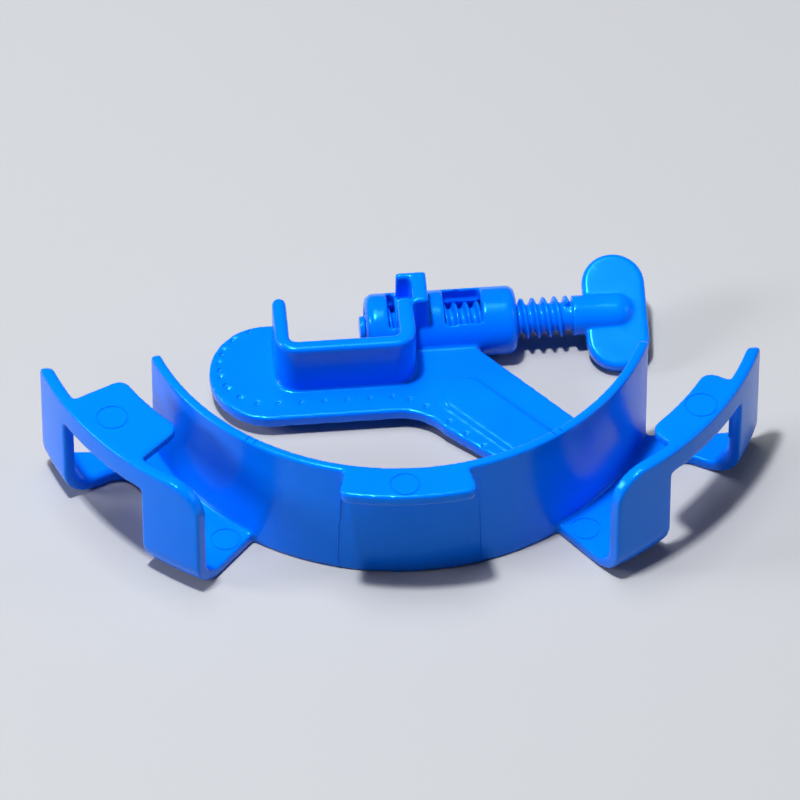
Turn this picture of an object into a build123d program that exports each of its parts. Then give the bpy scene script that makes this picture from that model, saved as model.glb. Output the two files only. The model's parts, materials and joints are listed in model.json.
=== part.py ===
"""Lip and cheek retractor with a clamp-on tongue shield, moulded in blue plastic.

The lip band stands on its lower edge. The tongue shield is a second, loose moulding that
lies inside the band, with its clamp screw behind it. Millimetres, +Z up, front towards -Y.
"""
import os
from math import cos, radians, sin

from build123d import *

os.makedirs("parts", exist_ok=True)

# Lip band: a wall bent to an arc, open at the back
band_height = 19.6
band_radius = 37.0            # outer face
band_wall = 1.4
band_half_angle = 71.4        # from the front to each end, degrees
band_centre_y = 12.42         # puts the origin under the middle of the whole object
band_top_rounding = 0.45

# Front lip tab, flush with the band's top edge
lip_tab_reach = 4.5
lip_tab_half_angle = 13.5
lip_tab_thickness = 1.9
lip_tab_corner = 1.2

# Wings: a J-section bent about its own centre, outside the band
wing_centre_x = 5.2           # to each side of the band's centre
wing_centre_y = band_centre_y + 1.35
wing_radius = 47.8            # outer face of the wing's wall
wing_wall = 1.8
wing_bend = 5.0               # outer radius of the bend from floor to wall
window_front_angle = 41.5     # about the wing's centre, degrees from the front
window_rear_angle = 62.0
rail_height = 4.2
wing_front_x = 21.3           # where the front end's plane meets the band
wing_front_y = band_centre_y - 30.25
wing_front_angle = 38.5
wing_rear_y = band_centre_y - 12.95
wing_front_corner = 5.0
wing_first_angle = 20.0       # the section is swept from here, then cut off at the front end
wing_rear_corner = 1.5
floor_gap_radius = 38.0       # inner edge of the gap in the floor, about the wing's centre
floor_gap_corner = 3.0
floor_reach = 15.0            # inwards from the bend, into the band
foot_reach = 10.0             # inwards from the gap, into the band

# Cheek tabs, flush with the top of the wings and not alike
cheek_tab_thickness = 1.7
cheek_tab_corner = 1.8
cheek_tab_front_angle = 43.0
left_cheek_tab_reach = 8.0
right_cheek_tab_reach = 3.9

# Tongue shield: laid down leaning forward on its arm, a little askew in the band
screw_axis_x = -4.2           # left end of the barrel, on the screw's axis
screw_axis_y = band_centre_y + 6.75
screw_axis_z = 4.9
shield_yaw = 2.75
shield_tilt = 6.85
plate_top = 0.65              # above the screw's axis
plate_thickness = 2.0
plate_end_radius = 8.5
plate_end_x = -14.3
plate_front_y = -15.75
plate_right_x = 15.0          # behind the arm, beside the barrel
plate_back_y = -3.0
arm_bend_start = (3.2, plate_front_y)
arm_bend_end = (9.6, plate_front_y - 3.4)
arm_front_corner = (19.8, -28.3)
arm_tip = (28.4, -27.6)
arm_back_corner = (28.3, -19.0)
arm_root = (15.4, -5.0)
dimple_radius = 0.5
dimple_depth = 0.3
dimple_pitch = 3.25
end_dimples_radius = 6.8      # 7 dimples round the plate's left end
end_dimples_centre = (-14.5, -6.3)
end_dimples_start = -106
end_dimples_angle = -146.4
front_dimples_start = (-13.4, -13.1)
bend_dimples = [(5.2, -13.8), (7.4, -15.3)]
arm_dimples_start = (10.4, -18.3)
arm_dimples_step = (2.2, -2.35)

# Grip pad on the arm
grip_centre = (17.3, -18.3, 0)
grip_turn = (0, 0, -46.5)
grip_length = 17.5
grip_width = 6.4
grip_corner = 2.4
grip_height = 0.5
grip_rounding = 0.3

# Clamp yoke: a U-shaped wall round the notch in the plate
jaw_left_x = -11.5            # inner faces
jaw_right_x = 4.2
jaw_front_y = -9.0
yoke_wall = 2.0
right_arm_wall = 2.3
yoke_height = 9.1             # above the plate
yoke_corner = 3.0
left_arm_end_y = -1.0
right_arm_end_y = -2.2
yoke_top_rounding = 0.6

# Guide hook, behind the yoke's right arm and on top of the barrel
hook_outer_x = 8.7
hook_front_y = -3.3
hook_back_y = 2.1
hook_back_wall = 1.0
hook_left_x = 4.4
hook_top_rounding = 0.35

# Screw barrel
barrel_radius = 4.9
barrel_length = 21.6
barrel_bore = 3.0
barrel_rounding = 1.3
opening_floor = 1.5           # the openings in the barrel are cut down to here, above the axis
window_start, window_end = 11.2, 16.5
window_half_width = 3.1
slot_start, slot_end = 3.2, 4.2

# Clamp screw
thread_radius = 2.95
thread_root = 2.0
thread_pitch = 1.6
thread_length = 29.7
shank_radius = 2.75
shank_end = 36.0
shank_collar = 2.9            # radius where the shank starts, and how long it takes to narrow
thread_half_root = 0.55       # half widths of the thread's section
thread_half_crest = 0.16
thread_overlap = 0.1          # of the thread into its core
thread_lead_in = 0.9          # plain turns at the nose
thread_plain_turns = 1.3      # at both ends together
screw_setback = 0.05          # of the screw's nose from the barrel's end
stem_clearance = 0.05
stem_hole_extra = 0.3
pad_radius = 1.8
pad_thickness = 0.8
pad_stem = 0.9
pad_stem_length = 2.2
pad_rounding = 0.25
paddle_start, paddle_end = 31.4, 40.4
paddle_half_length = 8.7
paddle_thickness = 2.5
paddle_rounding = 0.7
paddle_rest_angle = 25.0      # rear lobe up from level

band_centre = (0, band_centre_y)
wing_centre = (wing_centre_x, wing_centre_y)
wing_axis = Axis((wing_centre_x, wing_centre_y, 0), (0, 0, 1))
wing_inner = wing_radius - wing_wall


def along(angle):
    """Level direction at an angle from the front, turning to the right."""
    return (sin(radians(angle)), -cos(radians(angle)), 0)


def ring_sector(centre, inner, outer, start, end):
    """Face between two arcs on one centre, angles from the front."""
    with BuildLine() as outline:
        outer_arc = CenterArc(centre, outer, start - 90, end - start)
        inner_arc = CenterArc(centre, inner, start - 90, end - start)
        Line(outer_arc @ 0, inner_arc @ 0)
        Line(outer_arc @ 1, inner_arc @ 1)
    return make_face(outline.edges())


def wing_plane(angle):
    """Upright plane through the wing's centre, its x pointing outwards."""
    outwards = along(angle)
    return Plane((wing_centre_x, wing_centre_y, 0), x_dir=outwards, z_dir=(outwards[1], -outwards[0], 0))


def wing_section():
    """J-shaped section: floor, bend and wall, of one thickness."""
    bend_start = wing_radius - wing_bend
    floor_start = bend_start - floor_reach
    with BuildLine() as outline:
        Line((floor_start, wing_wall), (floor_start, 0))
        Line((floor_start, 0), (bend_start, 0))
        CenterArc((bend_start, wing_bend), wing_bend, -90, 90)
        Line((wing_radius, wing_bend), (wing_radius, band_height))
        Line((wing_radius, band_height), (wing_inner, band_height))
        Line((wing_inner, band_height), (wing_inner, wing_bend))
        CenterArc((bend_start, wing_bend), wing_bend - wing_wall, 0, -90)
        Line((bend_start, wing_wall), (floor_start, wing_wall))
    return make_face(outline.edges())


def cut_band():
    """Take the band's cylinder out of the part in hand."""
    with Locations((*band_centre, 0)):
        Cylinder(band_radius, band_height, align=(Align.CENTER, Align.CENTER, Align.MIN), mode=Mode.SUBTRACT)


def save(part, label):
    part.label = label
    export_step(part, f"parts/{label}.step")
    return part


# Lip band and its front tab
with BuildPart() as lip_band:
    with BuildSketch():
        ring_sector(band_centre, band_radius - band_wall, band_radius, -band_half_angle, band_half_angle)
    extrude(amount=band_height)
    fillet(lip_band.edges().filter_by(GeomType.CIRCLE).group_by(Axis.Z)[-1], band_top_rounding)
save(lip_band.part, "lip_band")

with BuildPart() as front_lip_tab:
    with BuildSketch(Plane.XY.offset(band_height - lip_tab_thickness)) as tab_outline:
        ring_sector(
            band_centre, band_radius, band_radius + lip_tab_reach, -lip_tab_half_angle, lip_tab_half_angle
        )
        fillet(tab_outline.vertices().group_by(Axis.Y)[0], lip_tab_corner)
    extrude(amount=lip_tab_thickness)
save(front_lip_tab.part, "front_lip_tab")


# Wings: the same J-section on both sides, in pieces round the window and the gap in the floor
front_end = Plane(
    (wing_front_x, wing_front_y, 0),
    z_dir=(cos(radians(wing_front_angle)), sin(radians(wing_front_angle)), 0),
)
front_end_axis = Axis(front_end.origin, front_end.z_dir)
rear_end = Plane((0, wing_rear_y, 0), z_dir=(0, -1, 0))

for side, cheek_tab_reach in (("right", right_cheek_tab_reach), ("left", left_cheek_tab_reach)):
    with BuildPart() as front_hook:
        with BuildSketch(wing_plane(wing_first_angle)):
            wing_section()
        revolve(axis=wing_axis, revolution_arc=window_front_angle - wing_first_angle)
        split(bisect_by=front_end, keep=Keep.TOP)
        cut_band()
        top_front_edge = front_hook.faces().sort_by(Axis.Z)[-1].edges().sort_by(front_end_axis)[0]
        fillet(top_front_edge, wing_front_corner)
        if side == "left":
            mirror(about=Plane.YZ, mode=Mode.REPLACE)
    save(front_hook.part, f"{side}_front_hook")

    with BuildPart() as rear_hook:
        with BuildSketch(wing_plane(window_rear_angle)):
            wing_section()
        revolve(axis=wing_axis, revolution_arc=90 - window_rear_angle)
        split(bisect_by=rear_end, keep=Keep.TOP)
        cut_band()
        top_rear_edge = rear_hook.faces().sort_by(Axis.Z)[-1].edges().sort_by(Axis.Y)[-1]
        fillet(top_rear_edge, wing_rear_corner)
        if side == "left":
            mirror(about=Plane.YZ, mode=Mode.REPLACE)
    save(rear_hook.part, f"{side}_rear_hook")

    with BuildPart() as rail:
        with BuildSketch(Plane.XY.offset(band_height - rail_height)):
            ring_sector(wing_centre, wing_inner, wing_radius, window_front_angle, window_rear_angle)
        extrude(amount=rail_height)
        if side == "left":
            mirror(about=Plane.YZ, mode=Mode.REPLACE)
    save(rail.part, f"{side}_rail")

    with BuildPart() as cheek_tab:
        with BuildSketch(Plane.XY.offset(band_height - cheek_tab_thickness)) as tab_outline:
            ring_sector(
                wing_centre, wing_inner - cheek_tab_reach, wing_inner,
                cheek_tab_front_angle, window_rear_angle,
            )
            inner_corners = tab_outline.vertices().sort_by_distance(Vector(*wing_centre))[:2]
            fillet(inner_corners, cheek_tab_corner)
        extrude(amount=cheek_tab_thickness)
        if side == "left":
            mirror(about=Plane.YZ, mode=Mode.REPLACE)
    save(cheek_tab.part, f"{side}_cheek_tab")

    with BuildPart() as wing_foot:
        with BuildSketch():
            ring_sector(
                wing_centre, floor_gap_radius - foot_reach, floor_gap_radius + floor_gap_corner,
                window_front_angle, window_rear_angle,
            )
            with BuildSketch(mode=Mode.SUBTRACT) as gap:
                ring_sector(
                    wing_centre, floor_gap_radius, wing_radius, window_front_angle, window_rear_angle
                )
                gap_corners = gap.vertices().sort_by_distance(Vector(*wing_centre))[:2]
                fillet(gap_corners, floor_gap_corner)
        extrude(amount=wing_wall)
        cut_band()
        if side == "left":
            mirror(about=Plane.YZ, mode=Mode.REPLACE)
    save(wing_foot.part, f"{side}_wing_foot")


# Directions of the tongue shield: x along the screw, z out of the plate's upper face
yaw, tilt = radians(shield_yaw), radians(shield_tilt)
screw_x = Vector(cos(yaw), sin(yaw), 0)
screw_back = Vector(-sin(yaw) * cos(tilt), cos(yaw) * cos(tilt), sin(tilt))
shield = Plane(
    (screw_axis_x, screw_axis_y, screw_axis_z), x_dir=screw_x, z_dir=screw_x.cross(screw_back)
)
screw_start = Plane(shield.origin, x_dir=shield.y_dir, z_dir=shield.x_dir)
screw_axis = Axis(shield.origin, shield.x_dir)
plate_bottom = plate_top - plate_thickness


def cut_barrel():
    """Take the barrel's full cylinder out of the part in hand."""
    with Locations(screw_start.offset(-1)):
        Cylinder(
            barrel_radius, barrel_length + 2,
            align=(Align.CENTER, Align.CENTER, Align.MIN), mode=Mode.SUBTRACT,
        )


def top_edges(part):
    """Edges round the face that lies highest above the plate."""
    return part.faces().sort_by(Axis(shield.origin, shield.z_dir))[-1].edges()


# Shield plate: round left end, notch for the jaws, and an arm running forward to the right.
# Dimples follow its rim: round the end, along the front and down the arm.
end_dimples = PolarLocations(
    end_dimples_radius, 7, start_angle=end_dimples_start, angular_range=end_dimples_angle, rotate=False
)
dimple_places = [Pos(*end_dimples_centre) * place for place in end_dimples]
for i in range(6):
    dimple_places.append(Pos(front_dimples_start[0] + dimple_pitch * i, front_dimples_start[1]))
for place in bend_dimples:
    dimple_places.append(Pos(*place))
for i in range(5):
    dimple_places.append(
        Pos(arm_dimples_start[0] + arm_dimples_step[0] * i, arm_dimples_start[1] + arm_dimples_step[1] * i)
    )

with BuildPart() as shield_plate:
    with BuildSketch(shield.offset(plate_bottom)) as plate_outline:
        with BuildLine():
            rear = plate_front_y + 2 * plate_end_radius
            Line((jaw_left_x, rear), (plate_end_x, rear))
            CenterArc((plate_end_x, plate_front_y + plate_end_radius), plate_end_radius, 90, 180)
            Line((plate_end_x, plate_front_y), arm_bend_start)
            TangentArc(arm_bend_start, arm_bend_end, tangent=(1, 0))
            Line(arm_bend_end, arm_front_corner)
            ThreePointArc(arm_front_corner, arm_tip, arm_back_corner)
            Line(arm_back_corner, arm_root)
            Line(arm_root, (plate_right_x, plate_back_y))
            Line((plate_right_x, plate_back_y), (jaw_right_x, plate_back_y))
            Line((jaw_right_x, plate_back_y), (jaw_right_x, jaw_front_y))
            Line((jaw_right_x, jaw_front_y), (jaw_left_x, jaw_front_y))
            Line((jaw_left_x, jaw_front_y), (jaw_left_x, rear))
        make_face()
    extrude(amount=plate_thickness)
    cut_barrel()
    for place in dimple_places:
        with Locations(shield.offset(plate_top + dimple_radius - dimple_depth).location * place):
            Sphere(dimple_radius, mode=Mode.SUBTRACT)
save(shield_plate.part, "shield_plate")

# Raised grip pad on the arm
with BuildPart() as grip_pad:
    with BuildSketch(shield.offset(plate_top)):
        with Locations(Location(grip_centre, grip_turn)):
            RectangleRounded(grip_length, grip_width, grip_corner)
    extrude(amount=grip_height)
    fillet(top_edges(grip_pad.part), grip_rounding)
save(grip_pad.part, "grip_pad")

# Clamp yoke
left = jaw_left_x - yoke_wall
right = jaw_right_x + right_arm_wall
front = jaw_front_y - yoke_wall
left_round = yoke_wall / 2
right_round = right_arm_wall / 2
with BuildPart() as clamp_yoke:
    with BuildSketch(shield.offset(plate_top)):
        with BuildLine():
            FilletPolyline(
                (left, left_arm_end_y - left_round), (left, front),
                (right, front), (right, right_arm_end_y - right_round), radius=yoke_corner,
            )
            FilletPolyline(
                (jaw_left_x, left_arm_end_y - left_round), (jaw_left_x, jaw_front_y),
                (jaw_right_x, jaw_front_y), (jaw_right_x, right_arm_end_y - right_round),
                radius=yoke_corner - yoke_wall,
            )
            ThreePointArc(
                (left, left_arm_end_y - left_round), (left + left_round, left_arm_end_y),
                (jaw_left_x, left_arm_end_y - left_round),
            )
            ThreePointArc(
                (jaw_right_x, right_arm_end_y - right_round),
                (jaw_right_x + right_round, right_arm_end_y), (right, right_arm_end_y - right_round),
            )
        make_face()
    extrude(amount=yoke_height)
    cut_barrel()
    fillet(top_edges(clamp_yoke.part), yoke_top_rounding)
save(clamp_yoke.part, "clamp_yoke")

# Guide hook: a low wall on the barrel, turned to the left at its back
with BuildPart() as guide_hook:
    with BuildSketch(shield.offset(plate_top)) as hook_outline:
        with BuildLine():
            Polyline(
                (right, hook_front_y), (hook_outer_x, hook_front_y), (hook_outer_x, hook_back_y),
                (hook_left_x, hook_back_y), (hook_left_x, hook_back_y - hook_back_wall),
                (right, hook_back_y - hook_back_wall), close=True,
            )
        make_face()
    extrude(amount=yoke_height)
    cut_barrel()
    fillet(top_edges(guide_hook.part), hook_top_rounding)
save(guide_hook.part, "guide_hook")

# Screw barrel, open at the top over part of the thread
with BuildPart() as screw_barrel:
    with BuildSketch(screw_start):
        Circle(barrel_radius)
    extrude(amount=barrel_length)
    fillet(screw_barrel.edges().filter_by(GeomType.CIRCLE), barrel_rounding)
    with BuildSketch(screw_start):
        Circle(barrel_bore)
    extrude(amount=barrel_length, mode=Mode.SUBTRACT)
    for start, end in ((window_start, window_end), (slot_start, slot_end)):
        with BuildSketch(shield.offset(opening_floor)):
            with Locations(((start + end) / 2, 0)):
                Rectangle(end - start, 2 * window_half_width)
        extrude(amount=barrel_radius, mode=Mode.SUBTRACT)
save(screw_barrel.part, "screw_barrel")

# Clamp screw: threaded core, shank with a round end, and a hole in the nose for the pad's stem
with BuildPart() as clamp_screw:
    with BuildSketch(screw_start.offset(screw_setback)):
        Circle(thread_root)
    extrude(amount=thread_length)
    with BuildLine() as helix:
        Helix(
            thread_pitch, thread_length - thread_plain_turns * thread_pitch, thread_root - thread_overlap,
            center=shield.from_local_coords(Vector(thread_lead_in * thread_pitch, 0, 0)),
            direction=shield.x_dir,
        )
    with BuildSketch(Plane(helix.line @ 0, x_dir=shield.x_dir, z_dir=helix.line % 0)):
        with BuildLine():
            crest = thread_radius - thread_root + thread_overlap
            Polyline(
                (-thread_half_root, 0), (-thread_half_crest, crest),
                (thread_half_crest, crest), (thread_half_root, 0), close=True,
            )
        make_face()
    sweep(path=helix.line, is_frenet=True)
    with BuildSketch(shield):
        with BuildLine():
            Polyline(
                (thread_length, 0), (thread_length, shank_collar), (shank_end - shank_collar, shank_radius),
                (shank_end, shank_radius),
            )
            CenterArc((shank_end, 0), shank_radius, 90, -90)
            Line((shank_end + shank_radius, 0), (thread_length, 0))
        make_face()
    revolve(axis=screw_axis)
    with BuildSketch(screw_start.offset(screw_setback)):
        Circle(pad_stem + stem_clearance)
    extrude(amount=pad_stem_length + stem_hole_extra, mode=Mode.SUBTRACT)
save(clamp_screw.part, "clamp_screw")

with BuildPart() as pressure_pad:
    with BuildSketch(screw_start.offset(-pad_thickness)):
        Circle(pad_radius)
    extrude(amount=pad_thickness)
    fillet(pressure_pad.edges().filter_by(GeomType.CIRCLE), pad_rounding)
    with BuildSketch(screw_start):
        Circle(pad_stem)
    extrude(amount=pad_stem_length)
save(pressure_pad.part, "pressure_pad")

# Thumb paddle: a flat bar with round ends across the shank
lobe = shield.y_dir.rotate(screw_axis, paddle_rest_angle - shield_tilt)
paddle_middle = shield.from_local_coords(Vector((paddle_start + paddle_end) / 2, 0, 0))
paddle_plane = Plane(paddle_middle, x_dir=shield.x_dir, z_dir=shield.x_dir.cross(lobe))
with BuildPart() as thumb_paddle:
    with BuildSketch(paddle_plane):
        SlotOverall(2 * paddle_half_length, paddle_end - paddle_start, rotation=90)
    extrude(amount=paddle_thickness / 2, both=True)
    fillet(thumb_paddle.faces().sort_by(Axis(paddle_middle, paddle_plane.z_dir))[-1].edges(), paddle_rounding)
    fillet(thumb_paddle.faces().sort_by(Axis(paddle_middle, paddle_plane.z_dir))[0].edges(), paddle_rounding)
    add(clamp_screw.part, mode=Mode.SUBTRACT)
save(thumb_paddle.part, "thumb_paddle")
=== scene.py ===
"""Lip and cheek retractor with a loose tongue shield and its clamp screw, in blue moulded plastic.

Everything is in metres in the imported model's frame: +Z up, front towards -Y. Lengths in this
file are written in millimetres and scaled by MM.
"""
import json
from math import acos, cos, degrees, radians, sin

import bmesh
import bpy
from mathutils import Matrix, Vector


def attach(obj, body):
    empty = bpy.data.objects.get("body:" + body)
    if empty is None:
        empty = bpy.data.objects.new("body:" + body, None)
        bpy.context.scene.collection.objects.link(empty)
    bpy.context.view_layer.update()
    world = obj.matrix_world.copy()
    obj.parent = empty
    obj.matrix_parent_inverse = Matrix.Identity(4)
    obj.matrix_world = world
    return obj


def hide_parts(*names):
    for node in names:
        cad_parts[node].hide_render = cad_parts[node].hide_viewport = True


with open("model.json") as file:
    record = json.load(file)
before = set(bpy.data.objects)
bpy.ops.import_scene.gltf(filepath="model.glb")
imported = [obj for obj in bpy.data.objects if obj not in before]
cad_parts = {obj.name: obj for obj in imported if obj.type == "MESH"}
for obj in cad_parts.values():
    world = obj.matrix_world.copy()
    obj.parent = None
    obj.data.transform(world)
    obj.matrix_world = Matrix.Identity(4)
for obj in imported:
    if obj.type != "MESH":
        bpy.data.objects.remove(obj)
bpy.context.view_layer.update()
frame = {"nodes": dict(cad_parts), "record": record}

MM = 0.001
UP = Vector((0, 0, 1))
SAME_POINT = 0.002   # corners closer than this are one corner
SAME_CAST_POINT = 0.001   # the same, for the copies of the frame's nodes
SPIN_STEP = 2        # degrees between the sections of a spun piece
PAST = 2             # how far a cutting tool reaches past what it cuts
scene = bpy.context.scene


# Working on one piece at a time

def deselect():
    bpy.ops.object.select_all(action="DESELECT")


def take(piece):
    """Make a piece the only one selected."""
    deselect()
    piece.select_set(True)
    bpy.context.view_layer.objects.active = piece


def edit(piece, kind="VERT"):
    """Open a piece in edit mode with nothing selected."""
    take(piece)
    bpy.ops.object.mode_set(mode="EDIT")
    bpy.ops.mesh.select_mode(type=kind)
    bpy.ops.mesh.select_all(action="DESELECT")


def close():
    bpy.ops.object.mode_set(mode="OBJECT")


def pick(piece, kind, wanted):
    """In edit mode, select the vertices, edges or faces whose middle, in millimetres, is wanted."""
    grid = bmesh.from_edit_mesh(piece.data)
    items = {"VERT": grid.verts, "EDGE": grid.edges, "FACE": grid.faces}[kind]
    for item in items:
        if kind == "VERT":
            middle = item.co
        elif kind == "EDGE":
            middle = (item.verts[0].co + item.verts[1].co) / 2
        else:
            middle = item.calc_center_median()
        item.select_set(bool(wanted(middle / MM)))
    grid.select_flush_mode()
    bmesh.update_edit_mesh(piece.data)


def outwards(piece):
    """Turn every face of a closed piece outwards."""
    edit(piece)
    bpy.ops.mesh.select_all(action="SELECT")
    bpy.ops.mesh.remove_doubles(threshold=SAME_POINT * MM)
    bpy.ops.mesh.normals_make_consistent(inside=False)
    close()


def outline(name, points, height):
    """A flat face through points (x, y), at a height, drawn by extruding one corner along them."""
    deselect()
    start = Vector((*points[0], height)) * MM
    bpy.ops.mesh.primitive_plane_add(size=MM, location=start)
    piece = bpy.context.object
    piece.name = name
    bpy.ops.object.transform_apply(location=True, rotation=True, scale=True)
    edit(piece)
    bpy.ops.mesh.select_all(action="SELECT")
    bpy.ops.mesh.merge(type="CENTER")
    for here, there in zip(points, points[1:]):
        step = (Vector((*there, 0)) - Vector((*here, 0))) * MM
        bpy.ops.mesh.extrude_region_move(TRANSFORM_OT_translate={"value": step})
    bpy.ops.mesh.select_all(action="SELECT")
    bpy.ops.mesh.edge_face_add()
    close()
    return piece


def raise_face(piece, height):
    """Extrude a flat face straight up into a closed slab."""
    edit(piece, "FACE")
    bpy.ops.mesh.select_all(action="SELECT")
    bpy.ops.mesh.extrude_region_move(TRANSFORM_OT_translate={"value": (0, 0, height * MM)})
    close()
    outwards(piece)
    return piece


def slab(name, points, bottom, top):
    return raise_face(outline(name, points, bottom), top - bottom)


def arc(centre, radius, start, end, steps):
    """Points along an arc, angles in degrees from the front (-Y), turning to the right."""
    turns = [radians(start + (end - start) * i / steps) for i in range(steps + 1)]
    return [(centre[0] + radius * sin(t), centre[1] - radius * cos(t)) for t in turns]


def corner(centre, radius, start, end, steps=6):
    """Points round a small corner, angles in degrees from +X, anticlockwise."""
    turns = [radians(start + (end - start) * i / steps) for i in range(steps + 1)]
    return [(centre[0] + radius * cos(t), centre[1] + radius * sin(t)) for t in turns]


def sector(centre, inner, outer, start, end, steps, inner_round=0, outer_round=0):
    """Outline of a ring sector, with its inner or outer corners rounded."""
    points = []
    for radius, rounding, sign in ((outer, outer_round, -1), (inner, inner_round, 1)):
        first, last = (start, end) if sign < 0 else (end, start)
        way = 1 if last > first else -1
        if not rounding:
            points += arc(centre, radius, first, last, steps)
            continue
        middle = radius + sign * rounding
        inset = degrees(acos((middle ** 2 - rounding ** 2) ** 0.5 / middle))
        for edge, step_in in ((first, way), (last, -way)):
            at = radians(edge + step_in * inset)
            place = (centre[0] + middle * sin(at), centre[1] - middle * cos(at))
            side = edge - 90 - 90 * step_in
            face = edge + step_in * inset - 90 + (0 if sign < 0 else 180)
            turn = (face - side + 180) % 360 - 180
            sweep = (side, side + turn) if edge == first else (side + turn, side)
            if edge == last:
                points += arc(centre, radius, first + way * inset, last - way * inset, steps)[1:-1]
            points += corner(place, rounding, *sweep)
    return points


def spin_section(name, section, centre, angles):
    """A closed section of (radius, height) points, spun about an upright axis."""
    first = radians(angles[0])
    away = Vector((sin(first), -cos(first), 0))
    piece = outline(name, section, 0)
    stand = Matrix((
        (away.x, 0, 0, centre[0] * MM),
        (away.y, 0, 0, centre[1] * MM),
        (0, 1, 0, 0),
        (0, 0, 0, 1),
    ))
    piece.data.transform(stand)
    edit(piece)
    bpy.ops.mesh.select_all(action="SELECT")
    for here, there in zip(angles, angles[1:]):
        steps = max(1, round(abs(there - here) / SPIN_STEP))
        turn = radians(here - there)   # the spin tool counts clockwise
        bpy.ops.mesh.spin(
            steps=steps, angle=turn, center=Vector((*centre, 0)) * MM, axis=(0, 0, 1)
        )
    close()
    outwards(piece)
    return piece


def cut_flat(piece, point, normal, fill=True):
    """Saw a closed piece along a plane, in millimetres, and keep the side behind the normal."""
    edit(piece)
    bpy.ops.mesh.select_all(action="SELECT")
    bpy.ops.mesh.bisect(
        plane_co=Vector(point) * MM, plane_no=normal, use_fill=fill, clear_outer=True,
        threshold=1e-7,
    )
    close()


def round_off(piece, middle, radius, first, last, steps=7):
    """Round a long edge of a closed piece by sawing along planes that touch the rounding."""
    for i in range(1, steps):
        normal = first.slerp(last, i / steps)
        cut_flat(piece, middle + normal * radius, normal)


def weld(piece, other, operation="UNION"):
    """Join another closed piece to this one, or take it away, and delete it."""
    take(piece)
    tool = piece.modifiers.new("weld", "BOOLEAN")
    tool.operation = operation
    tool.solver = "EXACT"
    tool.object = other
    bpy.ops.object.modifier_apply(modifier=tool.name)
    bpy.data.objects.remove(other)
    return piece


def joined(piece, other):
    """Put two separate pieces in one mesh."""
    take(piece)
    other.select_set(True)
    bpy.ops.object.join()
    return piece


def mirrored(piece):
    """Mirror a closed piece left to right."""
    piece.data.transform(Matrix.Scale(-1, 4, (1, 0, 0)))
    edit(piece)
    bpy.ops.mesh.select_all(action="SELECT")
    bpy.ops.mesh.flip_normals()
    close()
    return piece


def mould(piece, grain, rounds, share):
    """Turn joined solids into one skin with soft edges and filleted corners."""
    take(piece)
    skin = piece.modifiers.new("skin", "REMESH")
    skin.mode = "VOXEL"
    skin.voxel_size = grain * MM
    skin.use_smooth_shade = True
    bpy.ops.object.modifier_apply(modifier=skin.name)
    ease = piece.modifiers.new("ease", "SMOOTH")
    ease.factor = 0.5
    ease.iterations = rounds
    bpy.ops.object.modifier_apply(modifier=ease.name)
    thin = piece.modifiers.new("thin", "DECIMATE")
    thin.ratio = share
    bpy.ops.object.modifier_apply(modifier=thin.name)
    calm = piece.modifiers.new("calm", "SMOOTH")
    calm.factor = 0.4
    calm.iterations = 3
    bpy.ops.object.modifier_apply(modifier=calm.name)


def smooth(piece, angle=32):
    take(piece)
    bpy.ops.object.shade_smooth_by_angle(angle=radians(angle))


# Band and wings, the same measures as the frame's. Angles are in degrees from the front.
band_centre = (0, 12.42)
band_radius, band_wall, band_height = 37.0, 1.4, 19.6
band_half_angle = 71.4
band_past_middle = 10        # each half starts this far past the middle, and is cut off there
band_tip_round = 1.3
band_tip_wall_round = 0.45   # share of the wall

front_tab_half_angle, front_tab_reach = 13.5, 4.5
front_tab_depth, front_tab_corner = 1.9, 1.2

wing_centre = (5.2, 13.77)
wing_radius, wing_wall, wing_bend = 47.8, 1.8, 5.0
wing_start, window_start, window_end, wing_end = 22, 41.5, 62, 84
wing_floor_start = 27.0      # inside the band's wall, which hides this edge
wing_front_cut_angle = 38.5
wing_front_cut_from_centre = (21.3, -30.25)
wing_rear_cut_from_centre = -12.95
wing_front_round, wing_rear_round, wing_rear_edge_round = 5.0, 2.0, 0.9
window_reach = (38.0, 52.0)
window_corner = 3.0
rail_height = 4.2

cheek_tab_start, cheek_tab_end = 43.0, 62.0
cheek_tab_root, cheek_tab_overlap = 46.0, 0.9
cheek_tab_depth, cheek_tab_corner = 1.7, 1.8
left_cheek_tab_reach, right_cheek_tab_reach = 8.0, 3.9


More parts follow.
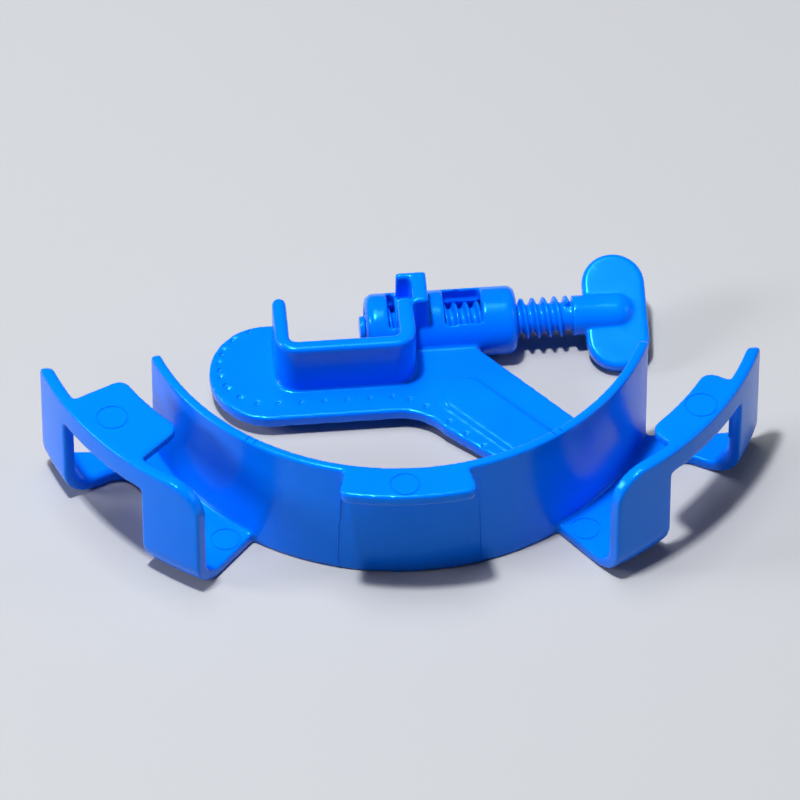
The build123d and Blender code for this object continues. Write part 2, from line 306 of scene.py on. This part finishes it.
def wing(name, cheek_tab_reach):
    """Right wing: J-section with its window, floor gap, rounded ends and cheek tab."""
    bend_middle = (wing_radius - wing_bend, wing_bend)
    section = [(wing_floor_start, wing_wall), (wing_floor_start, 0)]
    section += corner(bend_middle, wing_bend, -90, 0, 10)
    section += [(wing_radius, band_height), (wing_radius - wing_wall, band_height)]
    section += corner(bend_middle, wing_bend - wing_wall, 0, -90, 10)
    angles = (wing_start, window_start, window_end, wing_end)
    body = spin_section(name, section, wing_centre, angles)

    front_turn = radians(wing_front_cut_angle)
    front = Vector((-cos(front_turn), -sin(front_turn), 0))
    front_x, front_y = wing_front_cut_from_centre
    front_foot = Vector((front_x, band_centre[1] + front_y, 0))
    cut_flat(body, front_foot, front)
    rear = Vector((0, 1, 0))
    rear_foot = Vector((0, band_centre[1] + wing_rear_cut_from_centre, 0))
    cut_flat(body, rear_foot, rear)
    for foot, way, radius in (
        (front_foot, front, wing_front_round), (rear_foot, rear, wing_rear_round)
    ):
        middle = foot - way * radius + UP * (band_height - radius)
        round_off(body, middle, radius, way, UP)
    rear_turn = acos((wing_centre[1] - rear_foot.y) / wing_radius)
    away = Vector((sin(rear_turn), -cos(rear_turn), 0))
    rear_edge = Vector((*wing_centre, 0)) + away * wing_radius
    inset = (rear + away) * wing_rear_edge_round / (1 + rear.dot(away))
    round_off(body, rear_edge - inset, wing_rear_edge_round, rear, away)

    inside = slab(
        "inside", arc(band_centre, band_radius - band_wall / 2, 0, 358, 179),
        -PAST, band_height + PAST,
    )
    weld(body, inside, "DIFFERENCE")
    window = slab(
        "window",
        sector(
            wing_centre, *window_reach, window_start, window_end, 10,
            inner_round=window_corner,
        ),
        -PAST, band_height - rail_height,
    )
    weld(body, window, "DIFFERENCE")
    tab = slab(
        "tab",
        sector(
            wing_centre, cheek_tab_root - cheek_tab_reach, cheek_tab_root + cheek_tab_overlap,
            cheek_tab_start, cheek_tab_end, 10, inner_round=cheek_tab_corner,
        ),
        band_height - cheek_tab_depth, band_height,
    )
    weld(body, tab)
    return body


def half_band(name, cheek_tab_reach):
    """Right half of the band moulding, open where it meets the left half."""
    wall = [
        (band_radius - band_wall, 0), (band_radius, 0),
        (band_radius, band_height), (band_radius - band_wall, band_height),
    ]
    band = spin_section(name, wall, band_centre, (-band_past_middle, 0, band_half_angle))
    end = radians(band_half_angle)
    along, away = Vector((cos(end), sin(end), 0)), Vector((sin(end), -cos(end), 0))
    tip = Vector((*band_centre, 0)) + away * band_radius
    top_round = tip - along * band_tip_round + UP * (band_height - band_tip_round)
    round_off(band, top_round, band_tip_round, along, UP)
    wall_round = band_wall * band_tip_wall_round
    edge_round = tip - (along + away) * band_wall * band_tip_wall_round
    round_off(band, edge_round, wall_round, along, away)
    tab = slab(
        "front tab",
        sector(
            band_centre, band_radius - band_wall / 2, band_radius + front_tab_reach,
            -front_tab_half_angle, front_tab_half_angle, 13, outer_round=front_tab_corner,
        ),
        band_height - front_tab_depth, band_height,
    )
    weld(band, tab)
    weld(band, wing("wing", cheek_tab_reach))
    cut_flat(band, (0, 0, 0), (-1, 0, 0), fill=False)
    return band


def lip_band():
    """Band, front tab and both wings as one moulding."""
    right_half = half_band("lip_band_moulding", right_cheek_tab_reach)
    left_half = mirrored(half_band("left half", left_cheek_tab_reach))
    band = joined(right_half, left_half)
    edit(band)
    bpy.ops.mesh.select_all(action="SELECT")
    bpy.ops.mesh.remove_doubles(threshold=SAME_POINT * MM)
    close()
    return band


# Small marks that are finer than the skin's grain

def rod(name, centre, radius, bottom, top, sides=28):
    """An upright round rod, in millimetres."""
    deselect()
    bpy.ops.mesh.primitive_cylinder_add(
        vertices=sides, radius=radius * MM, depth=(top - bottom) * MM,
        location=Vector((*centre, (bottom + top) / 2)) * MM,
    )
    piece = bpy.context.object
    piece.name = name
    bpy.ops.object.transform_apply(location=True, rotation=True, scale=True)
    return piece


groove_out, groove_in, groove_depth, groove_sides = 0.14, 0.12, 0.13, 40
notch_half_angle, notch_depth = 0.13, 0.22
seam_section = ((-0.26, -0.2), (-0.07, 0.13), (0.07, 0.13), (0.26, -0.2))   # degrees, mm out


def ring_groove(centre, radius, height):
    """The fine round line that an ejector pin leaves on a flat face."""
    groove = rod(
        "ring groove", centre, radius + groove_out, height - groove_depth, height + 0.5,
        groove_sides,
    )
    middle = rod("ring middle", centre, radius - groove_in, height - 1, height + 1, groove_sides)
    return weld(groove, middle, "DIFFERENCE")


def notch(angle):
    """A hairline across the band's top edge, where two blocks of the mould meet."""
    return slab(
        "notch",
        sector(
            band_centre, band_radius - PAST, band_radius + 1,
            angle - notch_half_angle, angle + notch_half_angle, 1,
        ),
        band_height - notch_depth, band_height + 0.5,
    )


def seam(angle, lean, start, end):
    """An upright mould line on the band's outer face, leaning a little off upright."""
    points = []
    for turn, reach in seam_section:
        at = radians(angle + turn)
        radius = band_radius + reach
        points.append((band_centre[0] + radius * sin(at), band_centre[1] - radius * cos(at)))
    line = slab("mould line", points, start, end)
    edit(line)
    pick(line, "VERT", lambda at: at.z > (start + end) / 2)
    side = radians(angle)
    bpy.ops.transform.translate(value=Vector((cos(side), sin(side), 0)) * lean * MM)
    close()
    return line


def together(pieces):
    """Separate pieces in one mesh."""
    whole = pieces[0]
    for piece in pieces[1:]:
        joined(whole, piece)
    return whole


moulded_band = lip_band()
mould(moulded_band, grain=0.25, rounds=12, share=0.5)
grooves = together([
    ring_groove((-0.4, -26.6), 2.0, band_height),      # front tab
    ring_groove((-40.5, -11.9), 2.15, band_height),    # left cheek tab
    ring_groove((41.4, -12.9), 2.2, band_height),      # right cheek tab
    ring_groove((-25.2, -18.9), 2.0, wing_wall),       # left floor
    ring_groove((25.2, -18.9), 2.0, wing_wall),        # right floor
    notch(-36.9), notch(-34.9), notch(34.6), notch(36.4),
])
weld(moulded_band, grooves, "DIFFERENCE")
# Mould lines beside the front tab: angle, lean, bottom and top
seams = together([
    seam(-14.7, 0.25, 9.6, 17.2), seam(-15.1, 0.1, 1.0, 9.4), seam(16.4, -0.45, 1.0, 17.2)
])
weld(moulded_band, seams)
smooth(moulded_band, 50)


# Tongue shield, copied from the frame's nodes; its dimples are placed flat and then laid down: x
# along the screw, z out of the plate's face
yaw, tilt = radians(2.75), radians(6.85)
along_screw = Vector((cos(yaw), sin(yaw), 0))
behind_screw = Vector((-sin(yaw) * cos(tilt), cos(yaw) * cos(tilt), sin(tilt)))
off_plate = along_screw.cross(behind_screw)
screw_start = Vector((-4.2, band_centre[1] + 6.75, 4.9)) * MM
laid_down = Matrix((
    (along_screw.x, behind_screw.x, off_plate.x, screw_start.x),
    (along_screw.y, behind_screw.y, off_plate.y, screw_start.y),
    (along_screw.z, behind_screw.z, off_plate.z, screw_start.z),
    (0, 0, 0, 1),
))
plate_top = 0.65


def cast(name, nodes):
    """Copies of the frame's nodes, joined and merged in one mesh."""
    pieces = []
    for node in nodes:
        piece = bpy.data.objects.new(name, frame["nodes"][node].data.copy())
        scene.collection.objects.link(piece)
        pieces.append(piece)
    whole = together(pieces)
    edit(whole)
    bpy.ops.mesh.select_all(action="SELECT")
    bpy.ops.mesh.remove_doubles(threshold=SAME_CAST_POINT * MM)
    close()
    return whole


dimple_ball, dimple_lift = 0.46, 0.2
end_dimples_centre, end_dimples_ring = (-14.5, -6.3), 6.8
end_dimples_first, end_dimples_step, end_dimples_count = -106, -24.4, 7
front_dimples_start, front_dimples_pitch, front_dimples_count = (-13.4, -13.1), 3.25, 6
bend_dimples = [(5.2, -13.8), (7.4, -15.3)]
arm_dimples_start, arm_dimples_pitch, arm_dimples_count = (10.4, -18.3), (2.2, -2.35), 5


def dimple_drill():
    """Small balls, all in one mesh, where the plate's dimples go."""
    places = []
    for i in range(end_dimples_count):
        turn = radians(end_dimples_first + end_dimples_step * i)
        places.append((
            end_dimples_centre[0] + end_dimples_ring * cos(turn),
            end_dimples_centre[1] + end_dimples_ring * sin(turn),
        ))
    for i in range(front_dimples_count):
        places.append((front_dimples_start[0] + front_dimples_pitch * i, front_dimples_start[1]))
    places += bend_dimples
    for i in range(arm_dimples_count):
        places.append((
            arm_dimples_start[0] + arm_dimples_pitch[0] * i,
            arm_dimples_start[1] + arm_dimples_pitch[1] * i,
        ))
    deselect()
    bpy.ops.mesh.primitive_uv_sphere_add(segments=20, ring_count=12, radius=dimple_ball * MM)
    ball = bpy.context.object
    drill = None
    for x, y in places:
        one = bpy.data.objects.new("dimples", ball.data.copy())
        scene.collection.objects.link(one)
        one.data.transform(Matrix.Translation(Vector((x, y, plate_top + dimple_lift)) * MM))
        drill = joined(drill, one) if drill else one
    bpy.data.objects.remove(ball)
    drill.data.transform(laid_down)
    return drill


bodies = frame["record"]["behaviour"]["bodies"]
moulded_shield = cast("tongue_shield_moulding", bodies["tongue_shield"])
mould(moulded_shield, grain=0.22, rounds=9, share=0.5)
weld(moulded_shield, dimple_drill(), "DIFFERENCE")
smooth(moulded_shield, 50)
moulded_screw = cast("clamp_screw_moulding", bodies["clamp_screw"])
mould(moulded_screw, grain=0.14, rounds=4, share=0.5)
smooth(moulded_screw, 60)


# Blue plastic: even colour with faint flow, a soft gloss and the fine skin of a moulding

class Wire:
    """A socket of a material, with the arithmetic that its patterns use."""

    def __init__(self, plastic, socket):
        self.plastic = plastic
        self.socket = socket

    def _math(self, operation, first, second):
        return self.plastic.node("ShaderNodeMath", {"operation": operation}, {0: first, 1: second})

    def __add__(self, other):
        return self._math("ADD", self, other)

    def __sub__(self, other):
        return self._math("SUBTRACT", self, other)

    def __rsub__(self, other):
        return self._math("SUBTRACT", other, self)

    def __mul__(self, other):
        return self._math("MULTIPLY", self, other)

    __radd__ = __add__
    __rmul__ = __mul__


class Plastic:
    """A material whose nodes are added by one method."""

    def __init__(self, name):
        self.material = bpy.data.materials.new(name)
        self.material.use_nodes = True
        self.tree = self.material.node_tree
        self.tree.nodes.clear()

    def node(self, kind, settings=None, sockets=None, output=0):
        made = self.tree.nodes.new(kind)
        for setting, value in (settings or {}).items():
            setattr(made, setting, value)
        for socket, value in (sockets or {}).items():
            if isinstance(value, Wire):
                self.tree.links.new(value.socket, made.inputs[socket])
            else:
                made.inputs[socket].default_value = value
        return Wire(self, made.outputs[output]) if len(made.outputs) else None


def blue_plastic(name, tint, seed):
    """Glossy blue plastic. Tint is the even colour, and the seed shifts its faint pattern."""
    plastic = Plastic(name)
    where = plastic.node("ShaderNodeTexCoord", output="Object")
    place = plastic.node(
        "ShaderNodeMapping", {}, {"Vector": where, "Location": (seed, seed / 2, 0)}
    )

    def noise(scale, detail, roughness=0.5):
        return plastic.node(
            "ShaderNodeTexNoise", {},
            {"Vector": place, "Scale": scale, "Detail": detail, "Roughness": roughness},
        )

    flow = noise(55, 2)
    haze = noise(420, 3)
    skin = noise(2600, 2)
    deep = tuple(c * 0.92 for c in tint)
    pale = (tint[0], min(1, tint[1] * 1.1), min(1, tint[2] * 1.05))
    colour = plastic.node(
        "ShaderNodeMix", {"data_type": "RGBA"},
        {0: (flow - 0.32) * 1.6 + haze * 0.15, 6: (*deep, 1), 7: (*pale, 1)}, output=2,
    )
    rough = 0.21 + (haze - 0.5) * 0.08 + (flow - 0.5) * 0.08
    bump = plastic.node(
        "ShaderNodeBump", {}, {"Strength": 0.16, "Distance": 0.00005, "Height": skin + haze * 0.5}
    )
    shader = plastic.node("ShaderNodeBsdfPrincipled", {}, {
        "Base Color": colour, "Roughness": rough, "Normal": bump, "IOR": 1.49,
        "Specular IOR Level": 0.45, "Specular Tint": (0.05, 0.8, 1.0, 1),
        "Coat Weight": 0.01, "Coat Roughness": 0.1,
    })
    plastic.node("ShaderNodeOutputMaterial", {}, {"Surface": shader})
    return plastic.material


band_plastic = blue_plastic("blue plastic, band", (0.0, 0.165, 0.93), 0.0)
shield_plastic = blue_plastic("blue plastic, shield", (0.0, 0.16, 0.93), 0.31)
screw_plastic = blue_plastic("blue plastic, screw", (0.0, 0.17, 0.93), 0.67)


def finish_piece(piece, plastic, body, nodes):
    """Give a moulding its plastic, its body and the frame's nodes that it stands for."""
    piece.data.materials.clear()
    piece.data.materials.append(plastic)
    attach(piece, body)
    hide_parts(*nodes)


finish_piece(moulded_band, band_plastic, "lip_band", bodies["lip_band"])
finish_piece(
    moulded_shield, shield_plastic, "tongue_shield", bodies["tongue_shield"]
)
finish_piece(moulded_screw, screw_plastic, "clamp_screw", bodies["clamp_screw"])
for material_slot in frame["nodes"]["pressure_pad"].material_slots:
    material_slot.material = screw_plastic


# Floor, light and camera

FLOOR_WIDTH = 6     # metres
FLOOR_GAP = 0.02    # keeps the floor off the faces that stand on it

def paint(name, colour, roughness):
    """Plain matt surface for the floor, with a faint mottle."""
    plastic = Plastic(name)
    where = plastic.node("ShaderNodeTexCoord", output="Object")
    mottle = plastic.node("ShaderNodeTexNoise", {}, {"Vector": where, "Scale": 9.0, "Detail": 2.0})
    shade = plastic.node(
        "ShaderNodeMix", {"data_type": "RGBA"},
        {0: mottle, 6: (*colour, 1), 7: (*(c * 0.97 for c in colour), 1)}, output=2,
    )
    shader = plastic.node(
        "ShaderNodeBsdfPrincipled", {}, {"Base Color": shade, "Roughness": roughness}
    )
    plastic.node("ShaderNodeOutputMaterial", {}, {"Surface": shader})
    return plastic.material


deselect()
bpy.ops.mesh.primitive_plane_add(size=FLOOR_WIDTH, location=(0, 0, -FLOOR_GAP * MM))
floor = bpy.context.object
floor.name = "floor"
bpy.ops.object.transform_apply(location=True, rotation=True, scale=True)
floor.data.materials.append(paint("pale floor", (0.38, 0.39, 0.41), 0.85))

world = bpy.data.worlds.new("studio")
world.use_nodes = True
world.node_tree.nodes["Background"].inputs["Color"].default_value = (0.9, 0.95, 1.0, 1)
world.node_tree.nodes["Background"].inputs["Strength"].default_value = 0.04
scene.world = world


def soft_light(name, place, size, watts):
    """A square soft light, in metres, that faces the object."""
    lamp = bpy.data.lights.new(name, "AREA")
    lamp.size = size
    lamp.energy = watts
    light = bpy.data.objects.new(name, lamp)
    scene.collection.objects.link(light)
    light.location = place
    light.rotation_euler = (-Vector(place)).to_track_quat("-Z", "Y").to_euler()


soft_light("overhead light", (-0.1, 0.1, 1.0), 0.4, 4.0)
soft_light("small bright light", (-0.15, -0.1, 1.0), 0.08, 11.0)
soft_light("left light", (-1.0, -0.05, 0.42), 0.3, 7.0)
soft_light("right light", (0.95, -0.05, 0.5), 0.4, 1.2)

azimuth, elevation = radians(-2.4), radians(45)
camera_distance = 1247.5
object_middle, aim_above, aim_left = Vector((0, -6.83, 8.0)), 5.87, 0.29
back = Vector((sin(azimuth) * cos(elevation), -cos(azimuth) * cos(elevation), sin(elevation)))
right = Vector((cos(azimuth), sin(azimuth), 0))
above = back.cross(right)
aim = object_middle + above * aim_above - right * aim_left
lens = bpy.data.cameras.new("camera")
lens.lens = 400
lens.sensor_width = 36
lens.clip_start, lens.clip_end = 0.05, 20
camera = bpy.data.objects.new("camera", lens)
scene.collection.objects.link(camera)
camera.location = (aim + back * camera_distance) * MM
camera.rotation_euler = (-back).to_track_quat("-Z", "Y").to_euler()
scene.camera = camera
scene.view_settings.view_transform = "Standard"   # keeps the blue as saturated as it is mixed
